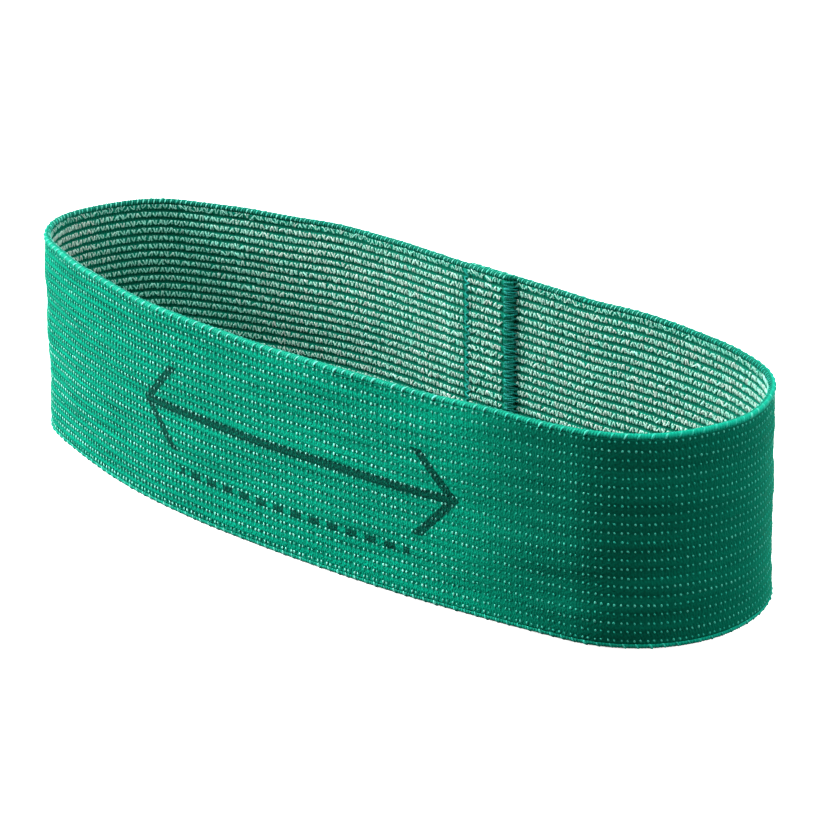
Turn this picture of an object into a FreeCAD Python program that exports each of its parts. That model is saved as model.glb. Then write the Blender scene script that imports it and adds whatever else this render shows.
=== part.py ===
import FreeCAD, Part
import math
import os
import Sketcher

# A knitted elastic exercise loop standing on its lower edge.
# X runs along the straight part of the back wall, the back wall is on +Y and Z is up.
# Every wall is a run of arcs that meet at a common tangent, so each layer of the cloth is the
# same run with all radii changed by the layer's distance from the middle of the cloth.

os.makedirs("parts", exist_ok=True)
doc = FreeCAD.newDocument("resistance_band")
sheet = doc.addObject("Spreadsheet::Sheet", "Sizes")
cell_row = 0


def put(alias, value):
    """Add one named cell. Text that starts with = is a formula on other names."""
    global cell_row
    cell_row += 1
    sheet.set("A%d" % cell_row, alias)
    sheet.set("B%d" % cell_row, str(value))
    sheet.setAlias("B%d" % cell_row, alias)


# ---- driving dimensions, millimetres and degrees ----
put("band_width", 60)
put("row_count", 23)
put("first_row_z", 2.3)

# layers, as distances from the middle of the cloth, outwards positive
put("face_out", 0.90)
put("face_in", 0.38)
put("core_side", 0.70)
put("backing_out", -0.38)
put("backing_in", -0.76)
put("grip_out", -0.77)
put("grip_in", -1.05)
put("grip_tall", 1.5)
put("edge_thick", 2.0)
put("edge_tall", 1.5)
put("edge_round", 0.6)
put("rib_groove_deep", 0.12)
put("rib_groove_tall", 0.35)
put("cut_gap", 0.3)

# loop outline: arcs named in the order met when going round from the straight back
ARCS = ["back_left", "left", "front_left", "front_right", "right_front", "right_back", "back_right"]
RADII = {"back_left": 211, "left": 29.5, "front_right": 565,
         "right_front": 34, "right_back": 41.5, "back_right": 98}
# direction of the outward normal where each arc ends
ENDS = {"back_left": 113.9, "left": 248.6, "front_left": 268.9, "front_right": 281.7,
        "right_front": 361.4, "right_back": 429.5, "back_right": 450}

# lapped seam on the straight back, as distances along X
put("lap_step", 2.1)
put("lap_jog_start", -23)
put("lap_jog_length", 10)
put("tail_end", 8.6)
put("outer_end", -10.6)
put("thread_dia", 0.42)
put("tail_line_x", 6.4)
put("tail_line_wide", 3.6)
put("tail_line_pitch", 1.3)
put("outer_line_x", -8.6)
put("outer_line_wide", 2.0)
put("outer_line_pitch", 2.6)

# ---- outline, worked out from the dimensions above ----
put("row_pitch", "=(band_width - 2 * first_row_z) / (row_count - 1)")
put("wall_tall", "=band_width - 2 * edge_tall")
put("groove_floor", "=face_out - rib_groove_deep")
put("groove_clear", "=face_out + 0.1")
put("core_half", "=core_side / 2")
put("core_inner_half", "=-core_side / 2")
put("edge_half", "=edge_thick / 2")
put("edge_inner_half", "=-edge_thick / 2")

turn_start = "90"
for name in ARCS:
    if name in RADII:
        put("rad_" + name, RADII[name])
    put("beg_" + name, turn_start)
    put("fin_" + name, ENDS[name])
    put("dcos_" + name, "=cos(fin_%s) - cos(beg_%s)" % (name, name))
    put("dsin_" + name, "=sin(fin_%s) - sin(beg_%s)" % (name, name))
    turn_start = "=fin_" + name

others = [name for name in ARCS if name in RADII]
rise = " + ".join("rad_%s * dsin_%s" % (name, name) for name in others)
# the loop closes when the rises cancel and the straight part takes up what is left along X
put("rad_front_left", "=-(%s) / dsin_front_left" % rise)
run = " + ".join("rad_%s * dcos_%s" % (name, name) for name in ARCS)
put("flat_length", "=" + run)

# arc centres measured from the left end of the straight part
put("raw_x_back_left", "=0")
put("raw_y_back_left", "=-rad_back_left")
for before, name in zip(ARCS, ARCS[1:]):
    step = "(rad_%s - rad_%s)" % (before, name)
    put("raw_x_" + name, "=raw_x_%s + %s * cos(beg_%s)" % (before, step, name))
    put("raw_y_" + name, "=raw_y_%s + %s * sin(beg_%s)" % (before, step, name))

# shift that centres the whole part on the origin
put("thread_reach", "=face_out + 0.01 + thread_dia")
put("shift_x", "=-(raw_x_right_front + rad_right_front + raw_x_left - rad_left) / 2")
put("shift_y", "=-(thread_reach + raw_y_front_right - rad_front_right - edge_half) / 2")
for name in ARCS:
    put("cen_x_" + name, "=raw_x_%s + shift_x" % name)
    put("cen_y_" + name, "=raw_y_%s + shift_y" % name)
put("back_y", "=shift_y")
put("flat_left", "=shift_x")
put("flat_right", "=shift_x + flat_length")

# the tail of the cloth steps inwards by two equal arcs
put("jog_turn", "=2 * atan(lap_step / lap_jog_length)")
put("jog_radius", "=lap_jog_length / (2 * sin(jog_turn))")
doc.recompute()


def val(alias):
    return float(sheet.get(alias))


# ---- points of the middle line: each is (x, y, normal x, normal y) as sheet names ----
def put_point(name, px, py, nx, ny):
    for axis, text in (("px", px), ("py", py), ("nx", nx), ("ny", ny)):
        put("%s_%s" % (axis, name), text)


def put_arc_point(name, arc, angle):
    put("ang_" + name, "=" + angle)
    put_point(name,
              "=cen_x_%s + rad_%s * cos(ang_%s)" % (arc, arc, name),
              "=cen_y_%s + rad_%s * sin(ang_%s)" % (arc, arc, name),
              "=cos(ang_%s)" % name,
              "=sin(ang_%s)" % name)


def gap_turn(arc):
    """Turn, in degrees, that takes one cut gap along an arc."""
    return "cut_gap / rad_%s * 180 / pi" % arc


put_arc_point("left_a", "left", "beg_left")
put_arc_point("left_b", "left", "fin_left")
put_arc_point("right_a", "right_front", "beg_right_front")
put_arc_point("right_b", "right_front", "fin_right_front")
put_arc_point("right_c", "right_back", "fin_right_back")
put_arc_point("fl_a", "front_left", "beg_front_left + " + gap_turn("front_left"))
put_arc_point("fl_b", "front_left", "fin_front_left")
put_arc_point("fr_b", "front_right", "fin_front_right - " + gap_turn("front_right"))
put_arc_point("br_a", "back_right", "beg_back_right + " + gap_turn("back_right"))
put_arc_point("br_b", "back_right", "fin_back_right")
put_point("br_c", "=outer_end", "=back_y", "=0", "=1")
put_point("bl_a", "=tail_end", "=back_y - lap_step", "=0", "=1")
put_point("bl_b", "=lap_jog_start + lap_jog_length", "=back_y - lap_step", "=0", "=1")
put_point("bl_c", "=lap_jog_start + lap_jog_length / 2", "=back_y - lap_step / 2",
          "=sin(jog_turn)", "=cos(jog_turn)")
put_point("bl_d", "=lap_jog_start", "=back_y", "=0", "=1")
put_arc_point("bl_e", "back_left", "beg_back_left")
put_arc_point("bl_f", "back_left", "fin_back_left - " + gap_turn("back_left"))
doc.recompute()

# Each wall is a list of points and, between them, the middle radius of each stretch:
# None for a straight one, and a minus sign where the stretch curves the other way.
WALLS = {
    "left_end": (["left_a", "left_b"], ["rad_left"]),
    "right_end": (["right_a", "right_b", "right_c"], ["rad_right_front", "rad_right_back"]),
    "front_left": (["fl_a", "fl_b"], ["rad_front_left"]),
    "front_right": (["fl_b", "fr_b"], ["rad_front_right"]),
    "back_left": (["bl_a", "bl_b", "bl_c", "bl_d", "bl_e", "bl_f"],
                  [None, "-jog_radius", "jog_radius", None, "rad_back_left"]),
    "back_right": (["br_a", "br_b", "br_c"], ["rad_back_right", None]),
}


def plane_of(body, role):
    return [item for item in body.Origin.OriginFeatures if item.Role == role][0]


def new_body(label):
    body = doc.addObject("PartDesign::Body", "Body_" + label)
    body.Label = label
    body.AllowCompound = True
    return body


def new_sketch(body, name, role, lift):
    sketch = body.newObject("Sketcher::SketchObject", name)
    sketch.AttachmentSupport = [(plane_of(body, role), "")]
    sketch.MapMode = "FlatFace"
    sketch.setExpression("AttachmentOffset.Base.z", lift)
    return sketch


def fix_point(sketch, geo, pos, x_text, y_text, x, y):
    """Tie one point to two formulas."""
    for kind, text, size in (("DistanceX", x_text, x), ("DistanceY", y_text, y)):
        index = sketch.addConstraint(Sketcher.Constraint(kind, -1, 1, geo, pos, size))
        sketch.setExpression("Constraints[%d]" % index, text)


def offset_point(point, layer):
    """Formulas and present position of a point moved along its normal by a layer distance."""
    px, py, nx, ny = (axis + "_" + point for axis in ("px", "py", "nx", "ny"))
    x_text = "Sizes.%s + Sizes.%s * Sizes.%s" % (px, layer, nx)
    y_text = "Sizes.%s + Sizes.%s * Sizes.%s" % (py, layer, ny)
    x = val(px) + val(layer) * val(nx)
    y = val(py) + val(layer) * val(ny)
    return x_text, y_text, FreeCAD.Vector(x, y, 0)


def stretch_geometry(start, end, radius, ccw):
    """An arc of a given radius between two points, or a line when there is no radius."""
    if radius is None:
        return Part.LineSegment(start, end)
    chord = end - start
    middle = (start + end) * 0.5
    reach = math.sqrt(max(0.0, radius * radius - chord.Length * chord.Length / 4))
    side = FreeCAD.Vector(-chord.y, chord.x, 0).normalize()
    centre = middle + side * (reach if ccw else -reach)
    angle_a = math.atan2(start.y - centre.y, start.x - centre.x)
    angle_b = math.atan2(end.y - centre.y, end.x - centre.x)
    circle = Part.Circle(centre, FreeCAD.Vector(0, 0, 1), radius)
    if ccw:
        return Part.ArcOfCircle(circle, angle_a, angle_b)
    return Part.ArcOfCircle(circle, angle_b, angle_a)


def add_run(sketch, points, radii, layer):
    """Draw one side of a wall. Gives the (geometry, point) pairs of its two free ends."""
    spots = [offset_point(point, layer) for point in points]
    previous = None
    first = None
    for index, middle_radius in enumerate(radii):
        start = spots[index]
        end = spots[index + 1]
        ccw = True
        radius = None
        if middle_radius is not None:
            ccw = not middle_radius.startswith("-")
            alias = middle_radius.lstrip("-")
            sign = "+" if ccw else "-"
            radius_text = "Sizes.%s %s Sizes.%s" % (alias, sign, layer)
            radius = val(alias) + (val(layer) if ccw else -val(layer))
        geo = sketch.addGeometry(stretch_geometry(start[2], end[2], radius, ccw), False)
        start_pos, end_pos = (1, 2) if ccw else (2, 1)
        if radius is not None:
            number = sketch.addConstraint(Sketcher.Constraint("Radius", geo, radius))
            sketch.setExpression("Constraints[%d]" % number, radius_text)
        if previous is None:
            first = (geo, start_pos)
            fix_point(sketch, geo, start_pos, start[0], start[1], start[2].x, start[2].y)
        else:
            sketch.addConstraint(
                Sketcher.Constraint("Coincident", previous[0], previous[1], geo, start_pos))
        fix_point(sketch, geo, end_pos, end[0], end[1], end[2].x, end[2].y)
        previous = (geo, end_pos)
    return first, previous


def wall_sketch(body, name, wall, inner, outer, lift):
    """Closed strip between two layer distances along one wall."""
    points, radii = WALLS[wall]
    sketch = new_sketch(body, name, "XY_Plane", lift)
    ends = [add_run(sketch, points, radii, layer) for layer in (inner, outer)]
    for which, point in ((0, points[0]), (1, points[-1])):
        inner_end = ends[0][which]
        outer_end = ends[1][which]
        cap = sketch.addGeometry(
            Part.LineSegment(offset_point(point, inner)[2], offset_point(point, outer)[2]), False)
        sketch.addConstraint(
            Sketcher.Constraint("Coincident", inner_end[0], inner_end[1], cap, 1))
        sketch.addConstraint(
            Sketcher.Constraint("Coincident", outer_end[0], outer_end[1], cap, 2))
    return sketch


def pad(body, sketch, name, length):
    feature = body.newObject("PartDesign::Pad", name)
    feature.Profile = sketch
    feature.setExpression("Length", length)
    return feature


def repeat_up(body, features, name, pitch, count):
    """Repeat features upwards, one every pitch."""
    pattern = body.newObject("PartDesign::LinearPattern", name)
    pattern.Originals = features
    pattern.Direction = (plane_of(body, "Z_Axis"), [""])
    pattern.setExpression("Length", "%s * (%s - 1)" % (pitch, count))
    pattern.setExpression("Occurrences", count)
    body.Tip = pattern
    return pattern


def cut_grooves(body, wall):
    """Shallow grooves on the outer face, one between each two rows."""
    outline = wall_sketch(body, wall + "_groove_outline", wall, "groove_floor", "groove_clear",
                          "Sizes.first_row_z + (Sizes.row_pitch + Sizes.rib_groove_tall) / 2")
    groove = body.newObject("PartDesign::Pocket", wall + "_groove")
    groove.Profile = outline
    groove.setExpression("Length", "Sizes.rib_groove_tall")
    repeat_up(body, [groove], wall + "_grooves", "Sizes.row_pitch", "Sizes.row_count - 1")


def round_rim(body, base, name, level):
    """Round the two long edges of a rolled edge that lie at one level."""
    rim = []
    for index, edge in enumerate(base.Shape.Edges, 1):
        box = edge.BoundBox
        flat = abs(box.ZMin - level) < 1e-6 and abs(box.ZMax - level) < 1e-6
        if flat and edge.Length > 1.5 * val("edge_thick"):
            rim.append("Edge%d" % index)
    feature = body.newObject("PartDesign::Fillet", name)
    feature.Base = (base, rim)
    feature.setExpression("Radius", "Sizes.edge_round")
    body.Tip = feature
    return feature


def stitch_sketch(body, name, depth, ends):
    """Outline of one stitch: a thread-wide slot with round ends between two needle holes."""
    (x_a, z_a), (x_b, z_b) = ends
    sketch = new_sketch(body, name, "XZ_Plane", depth)
    run_text = "((%s) - (%s))" % (x_b, x_a)
    rise_text = "((%s) - (%s))" % (z_b, z_a)
    long_text = "sqrt(%s ^ 2 + %s ^ 2)" % (run_text, rise_text)
    half = "Sizes.thread_dia / 2"
    along_x = "%s / %s" % (run_text, long_text)
    along_z = "%s / %s" % (rise_text, long_text)
    corners = []
    for x, z, side in ((x_a, z_a, "+"), (x_b, z_b, "+"), (x_b, z_b, "-"), (x_a, z_a, "-")):
        other = "-" if side == "+" else "+"
        corners.append(("%s %s %s * %s" % (x, side, half, along_z),
                        "%s %s %s * %s" % (z, other, half, along_x)))
    spots = [FreeCAD.Vector(number(cx), number(cz), 0) for cx, cz in corners]
    radius = val("thread_dia") / 2
    sides = []
    for index in range(4):
        start = spots[index]
        end = spots[(index + 1) % 4]
        bend = radius if index % 2 else None
        shape = stretch_geometry(start, end, bend, True)
        sides.append(sketch.addGeometry(shape, False))
        fix_point(sketch, sides[-1], 1, corners[index][0], corners[index][1], start.x, start.y)
    for index in range(4):
        following = sides[(index + 1) % 4]
        kind = "Coincident" if index % 2 else "Tangent"
        sketch.addConstraint(Sketcher.Constraint(kind, sides[index], 2, following, 1))
    return sketch


def number(text):
    """Present value of a formula on sheet names."""
    return float(sheet.evalExpression(text))


def stitch_row(label, face, outside, line, zigzag):
    """One row of stitches up the seam, on the inner or the outer face."""
    body = new_body(label)
    depth = "-(%s + Sizes.thread_dia)" % face if outside else "-(%s)" % face
    x_low = "Sizes.%s_x - Sizes.%s_wide / 2" % (line, line)
    x_high = "Sizes.%s_x + Sizes.%s_wide / 2" % (line, line)
    pitch = "Sizes.%s_pitch" % line
    start = "(Sizes.edge_tall + Sizes.thread_dia)"
    if zigzag:
        trim = "Sizes.thread_dia"
        rises = [(start, "%s + %s / 2 - %s" % (start, pitch, trim), False),
                 ("%s + %s / 2" % (start, pitch), "%s + %s - %s" % (start, pitch, trim), True)]
    else:
        rises = [(start, "%s + %s / 2" % (start, pitch), False)]
    pads = []
    for index, (low, high, back) in enumerate(rises):
        ends = ((x_high, low), (x_low, high)) if back else ((x_low, low), (x_high, high))
        outline = stitch_sketch(body, "%s_outline_%d" % (label, index), depth, ends)
        pads.append(pad(body, outline, "%s_pad_%d" % (label, index), "Sizes.thread_dia"))
    count = "floor((Sizes.wall_tall - 2 * Sizes.thread_dia) / %s)" % pitch
    repeat_up(body, pads, label + "_row", pitch, count)
    return body


bodies = []

for wall in WALLS:
    # outer knitted face, with a shallow groove between neighbouring rows
    body = new_body(wall + "_face_cloth")
    outline = wall_sketch(body, wall + "_face_outline", wall, "face_in", "face_out", "Sizes.edge_tall")
    solid = pad(body, outline, wall + "_face_pad", "Sizes.wall_tall")
    cut_grooves(body, wall)
    bodies.append(body)

    # green knitted backing
    body = new_body(wall + "_backing_cloth")
    outline = wall_sketch(
        body, wall + "_backing_outline", wall, "backing_in", "backing_out", "Sizes.edge_tall")
    solid = pad(body, outline, wall + "_backing_pad", "Sizes.wall_tall")
    body.Tip = solid
    bodies.append(body)

    # square cut rubber cords, one to a row
    body = new_body(wall + "_rubber_cords")
    outline = wall_sketch(body, wall + "_cord_outline", wall, "core_inner_half", "core_half",
                          "Sizes.first_row_z - Sizes.core_half")
    solid = pad(body, outline, wall + "_cord_pad", "Sizes.core_side")
    repeat_up(body, [solid], wall + "_cord_rows", "Sizes.row_pitch", "Sizes.row_count")
    bodies.append(body)

    # pale grip yarns laid along the inner face, one to a row
    body = new_body(wall + "_grip_yarns")
    outline = wall_sketch(body, wall + "_grip_outline", wall, "grip_in", "grip_out",
                          "Sizes.first_row_z - Sizes.grip_tall / 2")
    solid = pad(body, outline, wall + "_grip_pad", "Sizes.grip_tall")
    repeat_up(body, [solid], wall + "_grip_rows", "Sizes.row_pitch", "Sizes.row_count")
    bodies.append(body)

    # rolled edges
    for edge, lift in (("lower", "0"), ("upper", "Sizes.band_width - Sizes.edge_tall")):
        body = new_body("%s_%s_edge" % (wall, edge))
        outline = wall_sketch(body, "%s_%s_edge_outline" % (wall, edge), wall,
                              "edge_inner_half", "edge_half", lift)
        solid = pad(body, outline, "%s_%s_edge_pad" % (wall, edge), "Sizes.edge_tall")
        doc.recompute()
        level = val("band_width") if edge == "upper" else 0
        round_rim(body, solid, "%s_%s_edge_rim" % (wall, edge), level)
        bodies.append(body)

# the two rows of stitches of the lapped seam, each seen on both faces of the double cloth
inner_face = "Sizes.back_y - Sizes.lap_step + Sizes.grip_in - 0.01"
outer_face = "Sizes.back_y + Sizes.face_out + 0.01"
bodies.append(stitch_row("tail_seam_inner_thread", inner_face, False, "tail_line", False))
bodies.append(stitch_row("tail_seam_outer_thread", outer_face, True, "tail_line", False))
bodies.append(stitch_row("cover_seam_inner_thread", inner_face, False, "outer_line", True))
bodies.append(stitch_row("cover_seam_outer_thread", outer_face, True, "outer_line", True))

doc.recompute()
for item in doc.Objects:
    if "Invalid" in item.State or "Error" in item.State:
        raise RuntimeError("%s: %s" % (item.Label, item.State))
for body in bodies:
    shape = body.Shape
    if shape.isNull() or not shape.isValid():
        raise RuntimeError(body.Label + " has no valid shape")
    shape.exportStep("parts/%s.step" % body.Label)
    print(body.Label, len(shape.Solids), "solids", round(shape.Volume, 1), "mm3")
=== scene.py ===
import math

import bpy
import numpy as np
from mathutils import Matrix, Vector


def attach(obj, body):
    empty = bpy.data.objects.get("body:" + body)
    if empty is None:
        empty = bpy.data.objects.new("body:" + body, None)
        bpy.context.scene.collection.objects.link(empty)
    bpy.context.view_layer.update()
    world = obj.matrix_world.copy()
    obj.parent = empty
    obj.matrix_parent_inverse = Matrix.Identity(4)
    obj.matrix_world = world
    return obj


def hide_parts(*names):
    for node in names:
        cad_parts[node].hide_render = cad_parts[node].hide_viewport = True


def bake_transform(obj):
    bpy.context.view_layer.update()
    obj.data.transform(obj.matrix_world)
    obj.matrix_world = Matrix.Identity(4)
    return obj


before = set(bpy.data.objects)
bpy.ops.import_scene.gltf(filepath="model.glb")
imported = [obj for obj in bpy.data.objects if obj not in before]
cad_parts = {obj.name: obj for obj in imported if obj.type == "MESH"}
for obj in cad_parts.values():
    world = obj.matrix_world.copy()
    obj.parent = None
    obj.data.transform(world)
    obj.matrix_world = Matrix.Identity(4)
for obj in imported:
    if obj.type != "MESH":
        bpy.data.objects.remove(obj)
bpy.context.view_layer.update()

MM = 0.001
TAU = 2 * math.pi


# ---------------------------------------------------------------- camera
def add_camera():
    """Long lens, a little above the loop, looking at it across its long way."""
    turn, down, roll = math.radians(45.531), math.radians(20.665), math.radians(0.689)
    right = Vector((math.cos(turn), math.sin(turn), 0))
    level = Vector((-math.sin(turn), math.cos(turn), 0))
    ahead = math.cos(down) * level - math.sin(down) * Vector((0, 0, 1))
    up = math.sin(down) * level + math.cos(down) * Vector((0, 0, 1))
    place = (7.818 * right + 26.030 * up - 1158.72 * ahead) * MM
    side = math.cos(roll) * right - math.sin(roll) * up
    top = math.sin(roll) * right + math.cos(roll) * up
    data = bpy.data.cameras.new("camera")
    data.sensor_width = 36
    data.lens = 178.1
    camera = bpy.data.objects.new("camera", data)
    axes = Matrix((side, top, -ahead)).transposed()
    camera.matrix_world = Matrix.Translation(place) @ axes.to_4x4()
    bpy.context.scene.collection.objects.link(camera)
    bpy.context.scene.camera = camera


add_camera()

# ---------------------------------------------------------------- the loop's middle line
# Arcs in order round the loop from the straight back wall: the radii, and the direction of the
# outward normal in degrees where each arc starts and ends. The radius left at 0 follows from
# the others, because the line has to close.
RADII = [211, 29.5, 0, 565, 34, 41.5, 98]
TURNS = [90, 113.9, 248.6, 268.9, 281.7, 361.4, 429.5, 450]
LEFT, CLOSING, FRONT, RIGHT = 1, 2, 3, 4
# Lapped tail, as places along X, and how far inside the back wall it lies.
TAIL_END, OUTER_END, JOG_START, JOG_LONG, LAP_STEP = 8.6, -10.6, -23, 10, 2.1
# What stands out furthest: the seam thread at the back and half of the rolled edge in front.
THREAD_REACH, EDGE_HALF = 1.33, 1.0


def lay_runs():
    """Runs from the inner raw end on, and the place of that end.

    A run is (length, 0) if it is straight and (radius, degrees) if it is an arc, rounded to
    0.00001 or finer. The first pair of arcs is the jog that brings the lapped tail out to the
    wall.
    """
    turns, radii = np.radians(TURNS), np.array(RADII, float)
    rise = np.diff(np.sin(turns))
    radii[CLOSING] = -(radii @ rise) / rise[CLOSING]
    step = radii[:-1] - radii[1:]
    x = np.concatenate([[0], np.cumsum(step * np.cos(turns[1:-1]))])
    y = np.concatenate([[0], np.cumsum(step * np.sin(turns[1:-1]))]) - radii[0]
    arcs_start = -(x[RIGHT] + radii[RIGHT] + x[LEFT] - radii[LEFT]) / 2
    back = -(THREAD_REACH + y[FRONT] - radii[FRONT] - EDGE_HALF) / 2
    flat = radii @ np.diff(np.cos(turns))
    bend = 2 * math.atan(LAP_STEP / JOG_LONG)
    jog, jog_radius = round(math.degrees(bend), 7), round(JOG_LONG / (2 * math.sin(bend)), 7)
    arcs = zip(np.round(radii, 5), np.round(np.diff(TURNS), 5))
    runs = [(TAIL_END - JOG_START - JOG_LONG, 0), (jog_radius, -jog), (jog_radius, jog),
            (round(JOG_START - arcs_start, 5), 0), *arcs,
            (round(arcs_start + flat - OUTER_END, 5), 0)]
    return runs, (TAIL_END, round(back - LAP_STEP, 5))


RUNS, LINE_START = lay_runs()
REGION_ENDS = {"back_left": (0, 5), "left_end": (5, 6), "front_left": (6, 7),
               "front_right": (7, 8), "right_end": (8, 10), "back_right": (10, 12)}


def lay_line():
    """Start distance, start point, heading and curvature of every run, and the whole length."""
    rows, point, heading, far = [], np.array(LINE_START), math.pi, 0.0
    for size, turn in RUNS:
        bend = math.copysign(1 / size, turn) if turn else 0.0
        length = size * math.radians(abs(turn)) if turn else size
        rows.append((far, point[0], point[1], heading, bend))
        after = heading + bend * length
        if turn:
            point = point + np.array([math.sin(after) - math.sin(heading),
                                      math.cos(heading) - math.cos(after)]) / bend
        else:
            point = point + length * np.array([math.cos(heading), math.sin(heading)])
        heading, far = after, far + length
    return np.array(rows), far


LINE, WHOLE = lay_line()
STARTS = np.append(LINE[:, 0], WHOLE)
REGIONS = {name: (STARTS[a], STARTS[b]) for name, (a, b) in REGION_ENDS.items()}


def line_at(s):
    """Points and outward normals of the middle line, in millimetres."""
    s = np.asarray(s, float)
    run = LINE[np.clip(np.searchsorted(LINE[:, 0], s, side="right") - 1, 0, len(LINE) - 1)]
    far, heading, bend = s - run[..., 0], run[..., 3], run[..., 4]
    after = heading + bend * far
    safe = np.where(bend == 0, 1, bend)
    x = np.where(bend == 0, far * np.cos(heading), (np.sin(after) - np.sin(heading)) / safe)
    y = np.where(bend == 0, far * np.sin(heading), (np.cos(heading) - np.cos(after)) / safe)
    return run[..., 1] + x, run[..., 2] + y, np.sin(after), -np.cos(after)


def smooth_noise(seed, *spans):
    """A repeatable smooth random height of about -1 to 1, as a sum of sine waves."""
    rng = np.random.default_rng(seed)
    waves = [(TAU * rng.uniform(0.4, 1.6, len(spans)) * rng.choice([-1, 1], len(spans))
              / np.array(spans), rng.uniform(0, TAU)) for _ in range(9)]

    def height(*places):
        return sum(np.sin(sum(k * p for k, p in zip(ks, places)) + phase)
                   for ks, phase in waves) / 3
    return height


wall_waves = smooth_noise(11, 90, 24)
wall_folds = smooth_noise(12, 60, 9)
rim_waves = smooth_noise(13, 48)


def ramp(value, low, high):
    """Smooth change from 0 at low to 1 at high."""
    share = np.clip((value - low) / (high - low), 0, 1)
    return share * share * (3 - 2 * share)


def lap_ease(s):
    """Outward shift that brings the soft tail gently to the wall and presses its raw end down."""
    soft_step, jog_step = ramp(s, 17, 72), ramp(s, 21.6, 31.9)
    return LAP_STEP * (soft_step - jog_step) + 0.75 * (1 - ramp(s, -0.5, 3.6))


# Near the sewn lap, before WAVES_FROM and after WAVES_TO, the wall has no waves, and they grow
# to their full height over WAVES_EASE.
WAVES_FROM, WAVES_TO, WAVES_EASE = 30, 595, 35


def cloth(s, z, out):
    """Place on or off the cloth: s along the loop, z across it, out from its middle, in mm."""
    s, z, out = np.broadcast_arrays(*(np.asarray(v, float) for v in (s, z, out)))
    calm = (np.clip((s - WAVES_FROM) / WAVES_EASE, 0, 1)
            * np.clip((WAVES_TO - s) / WAVES_EASE, 0, 1))
    x, y, nx, ny = line_at(s)
    far = out + calm * (0.13 * wall_waves(s, z) + 0.06 * wall_folds(s, z)) + lap_ease(s)
    rise = z + (z / WIDTH) * (0.22 * calm * rim_waves(s) - 0.5 * ramp(s, 556, 574))
    return np.stack([x + far * nx, y + far * ny, rise], -1) * MM


# ---------------------------------------------------------------- knit sizes, millimetres
WIDTH = 60.0
ROWS = 23
FIRST_ROW = 2.3
PITCH = (WIDTH - 2 * FIRST_ROW) / (ROWS - 1)
STITCH = 1.7
UNIT = 2 * STITCH
YARN = STITCH / 2
WALL_LOW, WALL_HIGH = 1.5, WIDTH - 1.5
TAIL_LINE = 2.2
COVER_LINE = 17.2
OUTER_TAIL_LINE = WHOLE + OUTER_END - 6.4
OUTER_COVER_LINE = WHOLE + OUTER_END + 8.6


def row_offset(z):
    """Distance from the nearest row, as a share of the row pitch from -0.5 to 0.5."""
    row = (z - FIRST_ROW) / PITCH
    return row - np.round(row)


# ---------------------------------------------------------------- mesh helpers
def make_mesh(name, points, faces, uv=None, normals=None, tone=None):
    """Mesh object from vertex rows and a list of (count, index array) face blocks."""
    mesh = bpy.data.meshes.new(name)
    loops = np.concatenate([block.ravel() for block in faces]).astype(np.int32)
    sizes = np.concatenate([np.full(len(block), block.shape[1]) for block in faces])
    mesh.vertices.add(len(points))
    mesh.vertices.foreach_set("co", np.ascontiguousarray(points, np.float32).ravel())
    mesh.loops.add(len(loops))
    mesh.loops.foreach_set("vertex_index", loops)
    mesh.polygons.add(len(sizes))
    begin = np.concatenate([[0], np.cumsum(sizes)[:-1]]).astype(np.int32)
    mesh.polygons.foreach_set("loop_start", begin)
    mesh.update(calc_edges=True)
    mesh.polygons.foreach_set("use_smooth", np.ones(len(sizes), bool))
    if uv is not None:
        layer = mesh.uv_layers.new(name="knit")
        layer.data.foreach_set("uv", uv[loops].astype(np.float32).ravel())
    if tone is not None:
        spot = mesh.attributes.new("tone", "FLOAT", "POINT")
        spot.data.foreach_set("value", tone.astype(np.float32))
    if normals is not None:
        mesh.normals_split_custom_set_from_vertices(normals.reshape(-1, 3))
    mesh.update()
    piece = bpy.data.objects.new(name, mesh)
    bpy.context.scene.collection.objects.link(piece)
    return piece


def ring_faces(columns, ring):
    """Quads between neighbouring columns of closed rings, and one cap at each end."""
    a = np.arange(columns - 1)[:, None] * ring
    here, after = np.arange(ring)[None, :], (np.arange(ring)[None, :] + 1) % ring
    quads = np.stack([a + here, a + ring + here, a + ring + after, a + after], -1)
    caps = np.stack([np.arange(ring), (columns - 1) * ring + np.arange(ring)[::-1]])
    return [quads.reshape(-1, 4), caps]


def swept_sheet(name, s0, s1, step, z_out, outside, z_in, inside):
    """Closed thin sheet. outside and inside give the distance from the middle at (s, z)."""
    columns = max(4, int(round((s1 - s0) / step)) + 1)
    gap = (s1 - s0) / (columns - 1)
    s = (s0 + gap * np.arange(-1, columns + 1))[:, None]
    z = np.concatenate([z_out, z_in[::-1]])
    out = np.concatenate([outside(s, z_out[None, :]) + 0 * s,
                          inside(s, z_in[None, ::-1]) + 0 * s], 1)
    nearest = np.minimum(np.abs(s), np.abs(s - WHOLE))
    pinch = 0.25 + 0.75 * np.sqrt(np.clip(nearest / 1.3, 0, 1))
    points = cloth(s, z[None, :], out * pinch)
    along = points[2:] - points[:-2]
    middle = points[1:-1]
    across = np.roll(middle, -1, 1) - np.roll(middle, 1, 1)
    normals = np.cross(across, along)
    normals /= np.maximum(np.linalg.norm(normals, axis=2, keepdims=True), 1e-12)
    ring = len(z)
    uv = np.stack(np.broadcast_arrays(s[1:-1], z[None, :]), -1).reshape(-1, 2)
    return make_mesh(name, middle.reshape(-1, 3), ring_faces(columns, ring),
                     uv=uv, normals=-normals)


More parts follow.
